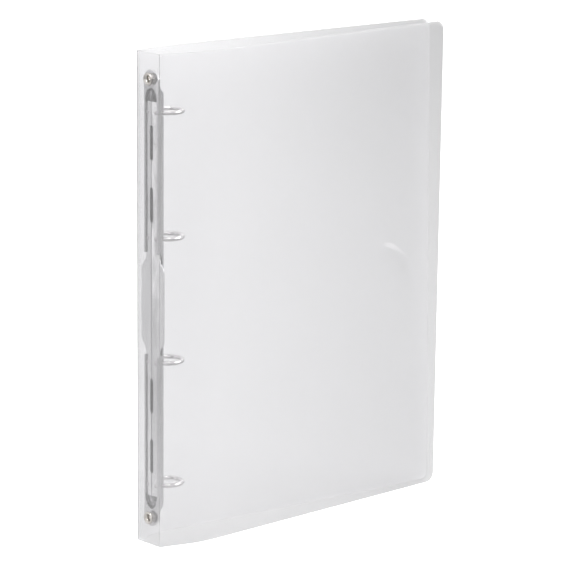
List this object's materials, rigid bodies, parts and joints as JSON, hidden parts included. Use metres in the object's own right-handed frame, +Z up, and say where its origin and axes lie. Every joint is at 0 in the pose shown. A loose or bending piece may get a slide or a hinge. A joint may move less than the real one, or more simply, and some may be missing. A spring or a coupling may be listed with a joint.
{
  "type": "ring binder",
  "caption": "Slim A4 ring binder with a frosted translucent wrap cover, living hinges and a riveted round ring mechanism with two coupled opening blades.",
  "frame": {"origin": "centre of the footprint of the standing binder, on its bottom edges", "axes": "+Z up along the spine, +X from the spine towards the free edges, +Y from the front cover towards the back cover"},
  "size_m": [0.2444, 0.035, 0.3164],
  "materials": {
    "polypropylene": "frosted translucent sheet",
    "channel_nickel": "bright nickel plate on sprung steel",
    "blade_nickel": "bright nickel plate on steel",
    "ring_nickel": "bright nickel plate on round wire",
    "rivet_nickel": "bright nickel plate"
  },
  "bodies": {
    "spine": {"spine_panel": "polypropylene", "front_fold": "polypropylene", "back_fold": "polypropylene", "ring_channel": "channel_nickel", "top_rivet": "rivet_nickel", "bottom_rivet": "rivet_nickel"},
    "front_cover": {"front_cover": "polypropylene"},
    "back_cover": {"back_cover": "polypropylene"},
    "front_rings": {"front_blade": "blade_nickel", "ring_1_front": "ring_nickel", "ring_2_front": "ring_nickel", "ring_3_front": "ring_nickel", "ring_4_front": "ring_nickel"},
    "back_rings": {"back_blade": "blade_nickel", "ring_1_back": "ring_nickel", "ring_2_back": "ring_nickel", "ring_3_back": "ring_nickel", "ring_4_back": "ring_nickel"}
  },
  "joints": [
    {"name": "front_cover_fold", "type": "hinge", "parent": "spine", "child": "front_cover", "pos_m": [-0.12112, -0.00983, 0.1582], "axis": [0, 0, -1], "range_deg": [0, 175]},
    {"name": "back_cover_fold", "type": "hinge", "parent": "spine", "child": "back_cover", "pos_m": [-0.12112, 0.01337, 0.1582], "axis": [0, 0, 1], "range_deg": [0, 175]},
    {"name": "front_rings_open", "type": "hinge", "parent": "spine", "child": "front_rings", "pos_m": [-0.11712, -0.00428, 0.1582], "axis": [0, 0, -1], "range_deg": [0, 10]},
    {"name": "back_rings_open", "type": "hinge", "parent": "spine", "child": "back_rings", "pos_m": [-0.11712, 0.00782, 0.1582], "axis": [0, 0, 1], "range_deg": [0, 10]}
  ],
  "couplings": [
    {"joint": "back_rings_open", "follows": "front_rings_open", "ratio": 1}
  ]
}
